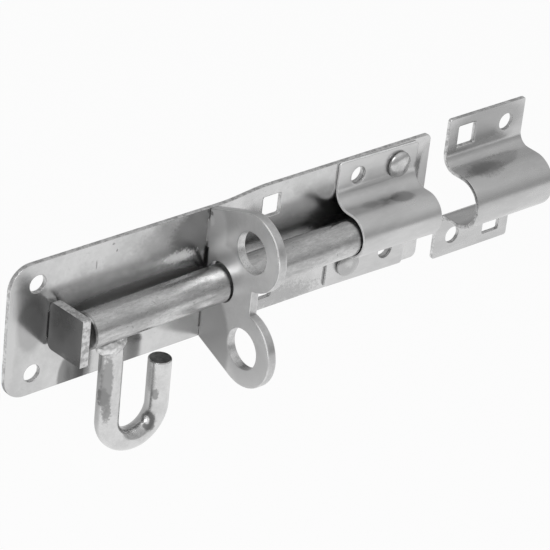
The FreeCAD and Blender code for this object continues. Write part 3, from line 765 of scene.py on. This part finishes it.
@dataclass(frozen=True)
class LugBracket:
    """The thick bracket across the plate, with the bolt's hole and the two padlock ears."""

    face_x: float = -81.0
    half_height: float = 27.3
    eye: Spot = (24.4, 20.3)
    eye_radius: float = 8.0
    ear_radius: float = 15.3
    notch_out: float = 26.5
    relief: Spot = (1.0, 11.0)
    tenon: Spot = (2.0, 9.5)
    tenon_height: float = 17.8
    bolt_hole: Spot = (-8.71, 0.43)
    bolt_hole_radius: float = 7.85
    foot_corner: float = 0.5
    rim_steps: int = 36
    round_segments: int = 72

    def ear_angles(self) -> Spot:
        """Work out where the ear's round rim starts and ends, as angles about its eye.

        Returns:
            Angle from +Z towards -Y where the slant meets the rim, and where the notch does.
        """
        out, up = self.eye[0], self.eye[1] - self.half_height
        distance = math.hypot(out, up)
        slant = math.atan2(-up, out)
        meets = math.acos(self.ear_radius / distance)
        start = meets - math.pi / 2 + slant
        end = math.pi - math.asin((self.notch_out - out) / self.ear_radius)
        return start, end

    def rim_point(self, angle: float) -> Triple:
        """Give a corner of the outline on the upper ear's rim, without rounding."""
        out = self.eye[0] + self.ear_radius * math.sin(angle)
        return (-out, self.eye[1] + self.ear_radius * math.cos(angle), 0.0)

    def outline(self) -> list[Triple]:
        """Walk round the bracket's outline, both ears, tenons and the relief behind the bolt.

        Returns:
            Corners as across (-Y is out), up and rounding.
        """
        start, end = self.ear_angles()
        steps = self.rim_steps
        rim = [start + (end - start) * step / steps for step in range(steps + 1)]
        upper = [(0.0, self.half_height, self.foot_corner)] + [self.rim_point(angle) for angle in rim]
        lower = [(across, -up, radius) for across, up, radius in reversed(upper)]
        deep, half = self.relief
        out, tall = self.tenon
        foot: list[Triple] = []
        for side in (-1, 1):
            near, far = self.tenon_height - tall / 2, self.tenon_height + tall / 2
            ends = [(0.0, far * side), (out, far * side), (out, near * side), (0.0, near * side),
                    (0.0, half * side), (-deep, half * side)]
            foot += [(across, up, 0.0) for across, up in (ends if side < 0 else reversed(ends))]
        return upper + lower + foot

    def build(self) -> None:
        """Make the bracket."""
        cut = Blank()
        cut.outline(self.outline(), segments=4)
        cut.circle(self.bolt_hole, self.bolt_hole_radius, self.round_segments)
        for side in (1, -1):
            cut.circle((-self.eye[0], self.eye[1] * side), self.eye_radius, self.round_segments)
        cut.cut(STRIP, STRIP_SOFTENED, Face.LIP)
        cut.stand_on_plate(self.face_x)
        piece = Piece("bracket_strip", "lug_bracket", Body.PLATE, "plated_strip", crease=40.0)
        piece.make(cut.mesh, STRIP_ZINC, STRIP_EDGE, EYE_WALL, LIP_ZINC)


@dataclass(frozen=True)
class EndStop:
    """The square slab at the bolt's left end, sheared from the same strip and tenoned as it is."""

    face_x: float = -153.0
    out: float = 19.4
    height: float = 19.5
    raised: float = 0.3
    lift: float = 1.05
    inner_corner: float = 2.6
    outer_corner: float = 0.5
    tenon: Spot = (2.0, 11.0)

    def build(self) -> None:
        """Make the stop."""
        deep, tall = self.tenon
        cut = Blank()
        half = self.height / 2
        root, front = self.raised, self.raised + self.lift
        cut.outline([(0.0, root + half, self.inner_corner),
                     (-self.out, front + half, self.outer_corner),
                     (-self.out, front - half, self.outer_corner),
                     (0.0, root - half, self.inner_corner),
                     (0.0, -tall / 2, 0.0), (deep, -tall / 2, 0.0), (deep, tall / 2, 0.0),
                     (0.0, tall / 2, 0.0)], segments=6)
        cut.cut(STRIP, STRIP_SOFTENED)
        cut.stand_on_plate(self.face_x)
        piece = Piece("stop_slab", "end_stop", Body.PLATE, "plated_strip", crease=40.0)
        piece.make(cut.mesh, STOP_PAINTED_DARK_REFLECTION, STOP_EDGE)


@dataclass(frozen=True)
class Strap:
    """A pressed strap: two flanges and a half-round channel that stands off them."""

    name: str
    node: str
    length: float
    height: float
    sheet: float
    crown: float
    middle_out: float
    raised: float
    bend_radius: float
    place: Triple
    skew: float
    finishes: tuple[Finish, ...]
    screws: tuple[Spot, ...]
    squares: tuple[Spot, ...] = ()
    corner: float = 1.2
    softened: float = 0.4
    quarter_cuts: int = 16
    bend_cuts: int = 12
    length_cuts: int = 4

    @property
    def quarter(self) -> float:
        """Length of sheet over a quarter of the channel."""
        return self.crown * math.pi / 2

    @property
    def wall(self) -> float:
        """Height of the channel's straight wall."""
        return self.middle_out - self.sheet - self.bend_radius

    @property
    def flange_start(self) -> float:
        """Length of sheet from the channel's middle to where a flange is flat."""
        return self.quarter + self.wall + self.bend_radius * math.pi / 2

    def flat_place(self, up: float) -> float:
        """Give where a height on a flange lies in the flat blank."""
        rise = up - self.raised
        beyond = abs(rise) - self.crown - self.bend_radius
        return math.copysign(self.flange_start + beyond, rise)

    def front(self, along: float) -> tuple[Vector, Vector]:
        """Give the bent sheet's front at a length of sheet from the channel's middle.

        Args:
            along: length of sheet, positive upwards.

        Returns:
            The place in the plane X = 0, and the direction into the sheet.
        """
        side, run = math.copysign(1.0, along), abs(along)
        if run <= self.quarter:
            turn = run / self.crown
            away = Vector((0.0, -math.cos(turn), side * math.sin(turn)))
            return Vector((0.0, -self.middle_out, self.raised)) + away * self.crown, -away
        run -= self.quarter
        if run <= self.wall:
            return (Vector((0.0, run - self.middle_out, self.raised + side * self.crown)),
                    Vector((0.0, 0.0, -side)))
        run -= self.wall
        turn = min(run / self.bend_radius, math.pi / 2)
        centre = Vector((0.0, -self.sheet - self.bend_radius,
                         self.raised + side * (self.crown + self.bend_radius)))
        inward = Vector((0.0, math.sin(turn), -side * math.cos(turn)))
        flat = Vector((0.0, 0.0, side * max(run - self.bend_radius * math.pi / 2, 0.0)))
        return centre + inward * self.bend_radius + flat, inward

    def bent(self, flat: Vector) -> Vector:
        """Give a flat place's place in the strap."""
        front, inward = self.front(flat.z)
        return Vector((flat.x, 0.0, 0.0)) + front + inward * flat.y

    def build(self) -> None:
        """Make the strap."""
        half = self.length / 2
        top, bottom = self.flat_place(self.height / 2), self.flat_place(-self.height / 2)
        cut = Blank()
        cut.outline([(-half, bottom, self.corner), (half, bottom, self.corner),
                     (half, top, self.corner), (-half, top, self.corner)], segments=4)
        for across, up in self.screws:
            cut.circle((across, self.flat_place(up)), SCREW_RADIUS)
        for across, up in self.squares:
            cut.rectangle((across, self.flat_place(up)), COACH_SIDE, COACH_SIDE, radius=0.6)
        cut.cut(self.sheet, self.softened)
        bend = self.flange_start - self.quarter - self.wall
        places = [self.quarter * step / self.quarter_cuts for step in range(1, self.quarter_cuts + 1)]
        places += [self.quarter + self.wall + bend * step / self.bend_cuts
                   for step in range(self.bend_cuts + 1)]
        cut.score((0.0, 0.0, 1.0), [0.0] + places + [-place for place in places])
        cut.score((1.0, 0.0, 0.0), [half * step / self.length_cuts
                                    for step in range(1 - self.length_cuts, self.length_cuts)])
        cut.bend(self.bent)
        carry(cut.mesh, Matrix.Rotation(math.radians(self.skew), 4, "Y"))
        carry(cut.mesh, Matrix.Translation(self.place))
        piece = Piece(self.name, self.node, Body.PLATE, "plated_sheet", crease=40.0)
        piece.make(cut.mesh, *self.finishes)


@dataclass(frozen=True)
class BoltLine:
    """The bolt's axis, which lies a little out of parallel with the plate."""

    bracket_x: float = -82.9
    out_at_bracket: float = 13.21
    up_at_bracket: float = -0.17
    out_at_saddle: float = 12.41
    up_at_saddle: float = 0.5

    def place(self, x: float) -> Vector:
        """Give the axis's place at an X."""
        share = x / self.bracket_x
        out = self.out_at_saddle + (self.out_at_bracket - self.out_at_saddle) * share
        up = self.up_at_saddle + (self.up_at_bracket - self.up_at_saddle) * share
        return Vector((x, -out, up))

    def along(self) -> Vector:
        """Give the axis's direction."""
        return (self.place(0.0) - self.place(self.bracket_x)).normalized()

    def stand(self, x: float) -> Matrix:
        """Give the matrix that carries a shape made about the X axis onto the bolt's line at an X."""
        turn = Vector((1.0, 0.0, 0.0)).rotation_difference(self.along())
        return Matrix.Translation(self.place(x)) @ turn.to_matrix().to_4x4()


@dataclass(frozen=True)
class BoltRod:
    """The round bolt."""

    line: BoltLine
    radius: float = 7.15
    left: float = -147.8
    length: float = 166.0
    bevel: float = 0.9
    end_on: float = 0.2

    def build(self) -> None:
        """Make the bolt."""
        mesh = bmesh.new()
        turn = Matrix.Rotation(math.pi / 2, 4, "Y")
        bmesh.ops.create_cone(mesh, cap_ends=True, segments=128, radius1=self.radius,
                              radius2=self.radius, depth=self.length, matrix=turn)
        rims = [edge for edge in mesh.edges if edge.calc_face_angle(0.0) > SHARP]
        soften(mesh, rims, self.bevel, segments=3)
        mesh.normal_update()
        # End faces and most of their rounded rims take the dark cut-end finish: bare cut metal, and on
        # the rims painted shade of the gap at the stop.
        for face in mesh.faces:
            end = abs(face.normal.x) > self.end_on
            face.material_index = (Face.SHEARED if end else Face.PLATED).value
        carry(mesh, self.line.stand(self.left + self.length / 2))
        piece = Piece("bolt_bar", "bolt_rod", Body.BOLT, "plated_bar")
        piece.make(mesh, ROD_ZINC, CUT_END_AND_GAP_SHADE)


@dataclass(frozen=True)
class HookHandle:
    """The hooked handle: a bar welded under the bolt, bent round and cut off short."""

    line: BoltLine
    bar: float = 4.5
    spread: float = 23.5
    drop: float = 42.2
    tip_drop: float = 23.4
    leg_levels: Triple = (-12.0, -20.0, -30.0)
    tip_levels: Spot = (-34.0, -28.0)
    rim: float = 0.5

    def build(self) -> None:
        """Make the hook."""
        mesh = bmesh.new()
        bmesh.ops.create_circle(mesh, segments=48, radius=self.bar)
        ring = mesh.edges[:]
        for vert in mesh.verts:
            vert.co.z = -math.sqrt(HOOK_SEAT ** 2 - vert.co.y ** 2)
        bmesh.ops.contextual_create(mesh, geom=ring)
        ring = drawn_on(mesh, ring, (*self.leg_levels, -self.drop))
        last = bmesh.ops.spin(mesh, geom=ring, cent=(self.spread / 2, 0.0, -self.drop),
                              axis=(0, -1, 0), angle=math.pi, steps=40)["geom_last"]
        ring = drawn_on(mesh, edges_in(last), (*self.tip_levels, -self.tip_drop))
        end = bmesh.ops.contextual_create(mesh, geom=ring)["faces"]
        end[0].material_index = Face.SHEARED.value
        soften(mesh, ring, self.rim, segments=3, material=Face.PLATED.value)
        face_out(mesh)
        carry(mesh, self.line.stand(HOOK_X))
        piece = Piece("hook_bar", "hook_handle", Body.HOOK, "plated_bar")
        piece.make(mesh, HOOK_ZINC, CUT_END_AND_GAP_SHADE)


@dataclass(frozen=True)
class WeldLump:
    """One lump of a weld, as an ellipsoid about a place under the bolt."""

    middle: Triple
    reach: Triple

    def exit(self, start: Vector, way: Vector) -> float:
        """Give how far it is from a place inside the lump out to its surface.

        Args:
            start: a place inside.
            way: a direction.

        Returns:
            The distance, 0 where the place is outside.
        """
        near = Vector([(start[axis] - self.middle[axis]) / self.reach[axis] for axis in range(3)])
        step = Vector([way[axis] / self.reach[axis] for axis in range(3)])
        square, cross, rest = step.dot(step), near.dot(step), near.dot(near) - 1
        inside = cross * cross - square * rest
        return max((math.sqrt(inside) - cross) / square, 0.0) if inside > 0 else 0.0


@dataclass(frozen=True)
class HookWeld:
    """The rough weld that joins hook and bolt, thickest at the hook's left."""

    line: BoltLine
    heart: Triple = (-2.0, -0.6, -8.6)
    lumps: tuple[WeldLump, ...] = (
        WeldLump((0.0, 0.0, -7.6), (5.5, 5.4, 3.2)),
        WeldLump((-4.6, -2.6, -7.6), (5.0, 4.2, 3.4)),
        WeldLump((-1.6, -3.0, -8.0), (4.2, 3.0, 3.6)),
        WeldLump((-3.0, -3.0, -8.6), (3.4, 2.7, 4.6)),
    )
    roughness: float = 0.6
    ripple: float = 0.55
    ripple_middle: float = 0.35
    smoothings: int = 2

    def build(self) -> None:
        """Make the weld."""
        mesh = bmesh.new()
        bmesh.ops.create_icosphere(mesh, subdivisions=5, radius=1.0)
        heart = Vector(self.heart)
        for vert in mesh.verts:
            way = vert.co.normalized()
            out = max(lump.exit(heart, way) for lump in self.lumps)
            place = heart + way * out
            ripple = noise.fractal(place * self.ripple, 1.0, 2.2, 4)
            vert.co = place + way * self.roughness * (ripple - self.ripple_middle)
        for _ in range(self.smoothings):
            bmesh.ops.smooth_vert(mesh, verts=mesh.verts[:], factor=0.4, use_axis_x=True,
                                  use_axis_y=True, use_axis_z=True)
        for vert in mesh.verts:
            across = Vector((vert.co.y, vert.co.z))
            if across.length < HOOK_SEAT:
                vert.co.y, vert.co.z = across.normalized() * HOOK_SEAT
        face_out(mesh)
        carry(mesh, self.line.stand(HOOK_X))
        Piece("weld_bead", "hook_weld", Body.HOOK, "weld_metal", crease=70.0).make(mesh, WELD_ZINC)


@dataclass(frozen=True)
class Rivet:
    """A dome-headed rivet, its head a little flattened where the set struck it."""

    name: str
    node: str
    spot: Spot
    flat: Triple
    front_y: float = -3.2
    head_radius: float = 5.4
    rise: float = 3.0
    lip: float = 0.8
    tuck: float = 0.15
    undercut: float = 0.8
    struck_off: float = 0.3
    squareness: float = 0.9
    dome_steps: int = 18

    def build(self) -> None:
        """Make the rivet."""
        high = self.rise - self.lip
        turns = [math.pi / 2 * step / self.dome_steps for step in range(self.dome_steps)]
        dome = [(self.head_radius * math.sin(turn) ** self.squareness,
                 self.lip + high * math.cos(turn) ** self.squareness) for turn in turns]
        foot = [(self.head_radius, self.lip), (self.head_radius - self.tuck, self.lip * 0.55),
                (self.head_radius - self.undercut, 0.0), (RIVET_SHANK, 0.0),
                (RIVET_SHANK, self.front_y), (0.0, self.front_y)]
        mesh = spun_profile(dome + foot, steps=64)
        struck = Vector(self.flat).normalized()
        reach = max(vert.co.dot(struck) for vert in mesh.verts) - self.struck_off
        for vert in mesh.verts:
            if vert.co.z > self.lip:
                vert.co -= struck * max(vert.co.dot(struck) - reach, 0.0)
        carry(mesh, Matrix.Rotation(math.pi / 2, 4, "X"))
        bmesh.ops.translate(mesh, vec=(self.spot[0], self.front_y, self.spot[1]), verts=mesh.verts[:])
        Piece(self.name, self.node, Body.PLATE, "rivet_steel").make(mesh, RIVET_ZINC)


# -------- the studio


@dataclass(frozen=True)
class Softbox:
    """A large square soft lamp that faces the object."""

    name: str
    way: Triple
    away: float
    side: float
    watts: float


@dataclass(frozen=True)
class Studio:
    """A pale floor under the object, soft light and the photograph's camera."""

    aim: Triple = (-0.05964, -0.01606, -0.0032)
    distance: float = 1.1867
    azimuth: float = -43.6294
    elevation: float = 29.7032
    roll: float = 6.4461
    lens: float = 208.836
    sensor: float = 36.0
    shift: Spot = (-0.0004, 0.0019)
    floor_z: float = -0.30
    floor_half: float = 3.0
    floor_white: float = 0.86
    floor_glow: float = 0.93
    air_greys: tuple[Spot, ...] = ((0.0, 0.48), (0.16, 0.48), (0.5, 0.62), (1.0, 0.60))
    behind: Spot = (0.1, 0.9)
    behind_greys: Spot = (1.0, 0.7)
    lamps: tuple[Softbox, ...] = (
        Softbox("left_box", (-0.62, -0.05, 0.78), 1.2, 0.65, 4.0),
        Softbox("overhead_box", (0.1, -0.35, 0.9), 1.6, 2.0, 2.0),
    )
    board_middle: Triple = (-0.135, 0.004, -0.078)
    board_size: Spot = (0.17, 0.10)
    board_greys: Spot = (0.40, 0.96)
    board_heights: Spot = (-0.034, -0.085)

    def floor(self) -> None:
        """Lay the floor. Camera and reflections see it white, and it keeps the object's shadow."""
        mesh = bmesh.new()
        bmesh.ops.create_grid(mesh, x_segments=8, y_segments=8, size=self.floor_half,
                              matrix=Matrix.Translation((0.0, 0.0, self.floor_z)))
        sheet = NodeSheet(bpy.data.materials.new("pale_floor"))
        sheet.tree.nodes.clear()
        plain = sheet.node("BsdfDiffuse", {"Color": (self.floor_white,) * 3 + (1.0,)})
        glow = sheet.node("Emission", {"Strength": 1.0})
        seen = sheet.node("LightPath", {}).outputs
        either = sheet.math("MAXIMUM", seen["Is Camera Ray"], seen["Is Glossy Ray"])
        share = sheet.math("MULTIPLY", either, self.floor_glow)
        mixed = sheet.node("MixShader", {0: share, 1: plain.outputs[0], 2: glow.outputs[0]})
        sheet.node("OutputMaterial", {"Surface": mixed.outputs[0]})
        laid = put_in_scene("floor", mesh, [sheet.owner])

    def world(self) -> None:
        """Surround the object with soft light, greyer at the horizon and behind than overhead."""
        world = bpy.data.worlds.new("studio_air")
        sheet = NodeSheet(world)
        place = sheet.node("TexCoord", {})
        parts = sheet.node("SeparateXYZ", {0: place.outputs["Generated"]}).outputs
        ramp = sheet.node("ValToRGB", {"Fac": parts["Z"]})
        ramp.color_ramp.interpolation = "EASE"
        stops = ramp.color_ramp.elements
        for height, _ in self.air_greys[1:-1]:
            stops.new(height)
        for stop, (height, grey) in zip(stops, self.air_greys):
            stop.position = height
            stop.color = (grey, grey, grey, 1.0)
        air = sheet.tree.nodes["Background"]
        sheet.feed(air.inputs["Color"], ramp.outputs["Color"])
        sheet.feed(air.inputs["Strength"], sheet.band(parts["Y"], self.behind, self.behind_greys))
        bpy.context.scene.world = world

    def stand_board(self) -> None:
        """Stand a glowing board behind and below the plate, which only reflections see; its glow is
        darker near the plate, a painted shadow.
        """
        mesh = bmesh.new()
        turn = Matrix.Rotation(math.pi / 2, 4, "X")
        bmesh.ops.create_grid(mesh, x_segments=1, y_segments=1, size=0.5,
                              matrix=Matrix.Translation(self.board_middle) @ turn
                              @ Matrix.Diagonal((*self.board_size, 1.0, 1.0)))
        sheet = NodeSheet(bpy.data.materials.new("glowing_board_painted_shadow"))
        sheet.tree.nodes.clear()
        place = sheet.node("TexCoord", {})
        parts = sheet.node("SeparateXYZ", {0: place.outputs["Object"]}).outputs
        shade = sheet.band(parts["Z"], self.board_heights, self.board_greys, curve="LINEAR")
        glow = sheet.node("Emission", {"Strength": shade})
        sheet.node("OutputMaterial", {"Surface": glow.outputs[0]})
        board = put_in_scene("shade_board", mesh, [sheet.owner])
        board.visible_camera = board.visible_diffuse = board.visible_shadow = False

    def hang_lamps(self) -> None:
        """Hang the soft boxes, each facing the object."""
        for box in self.lamps:
            light = bpy.data.lights.new(box.name, "AREA")
            light.size, light.energy = box.side, box.watts
            lamp = bpy.data.objects.new(box.name, light)
            way = Vector(box.way).normalized()
            lamp.location = Vector(self.aim) + way * box.away
            lamp.rotation_mode = "QUATERNION"
            lamp.rotation_quaternion = way.to_track_quat("Z", "Y")
            bpy.context.scene.collection.objects.link(lamp)

    def stand_camera(self) -> None:
        """Stand the camera where the photograph was taken from."""
        data = bpy.data.cameras.new("photo_camera")
        data.lens, data.sensor_width = self.lens, self.sensor
        data.shift_x, data.shift_y = self.shift
        turn, lift = math.radians(self.azimuth), math.radians(self.elevation)
        back = Vector((math.sin(turn) * math.cos(lift), -math.cos(turn) * math.cos(lift), math.sin(lift)))
        camera = bpy.data.objects.new("photo_camera", data)
        camera.rotation_mode = "QUATERNION"
        camera.location = Vector(self.aim) + back * self.distance
        roll = Matrix.Rotation(math.radians(self.roll), 3, "Z").to_quaternion()
        camera.rotation_quaternion = back.to_track_quat("Z", "Y") @ roll
        bpy.context.scene.collection.objects.link(camera)
        bpy.context.scene.camera = camera

    def build(self) -> None:
        """Set up the whole studio."""
        self.floor()
        self.world()
        self.stand_board()
        self.hang_lamps()
        self.stand_camera()
        bpy.context.scene.view_settings.view_transform = "Standard"
        LOG.info("studio ready")


def main() -> None:
    """Build the padbolt and its studio in order."""
    logging.basicConfig(level=logging.INFO, format="%(name)s: %(message)s")
    line = BoltLine()
    saddle = Strap(
        "saddle_strap", "guide_saddle", length=40.5, height=53.8, sheet=1.2, crown=9.05,
        middle_out=10.41, raised=0.5, bend_radius=6.6, place=(0.0, -SHEET, 0.0), skew=1.2,
        finishes=(STRAP_ZINC, STRAP_EDGE, PUNCHED_WALL), screws=((-10.2, 19.6), (10.2, -18.4)))
    keep = Strap(
        "keep_strap", "keep", length=41.0, height=62.4, sheet=1.8, crown=11.15,
        middle_out=11.842, raised=0.0, bend_radius=5.0, place=(58.9, 0.0, -1.0), skew=0.0,
        finishes=(KEEP_ZINC, SHEET_EDGE, PUNCHED_WALL), screws=((10.8, 22.6), (-10.8, -22.6)),
        squares=((-10.8, 22.6), (10.8, -22.6)))
    rivets = (Rivet("upper_rivet", "rivet_upper", UPPER_RIVET, (0.3, -0.2, 1.0)),
              Rivet("lower_rivet", "rivet_lower", LOWER_RIVET, (0.3, 0.3, 1.0)))
    for part in (Backplate(), LugBracket(), EndStop(), saddle, keep, *rivets,
                 BoltRod(line), HookHandle(line), HookWeld(line), Studio()):
        part.build()


if __name__ == "__main__":
    main()
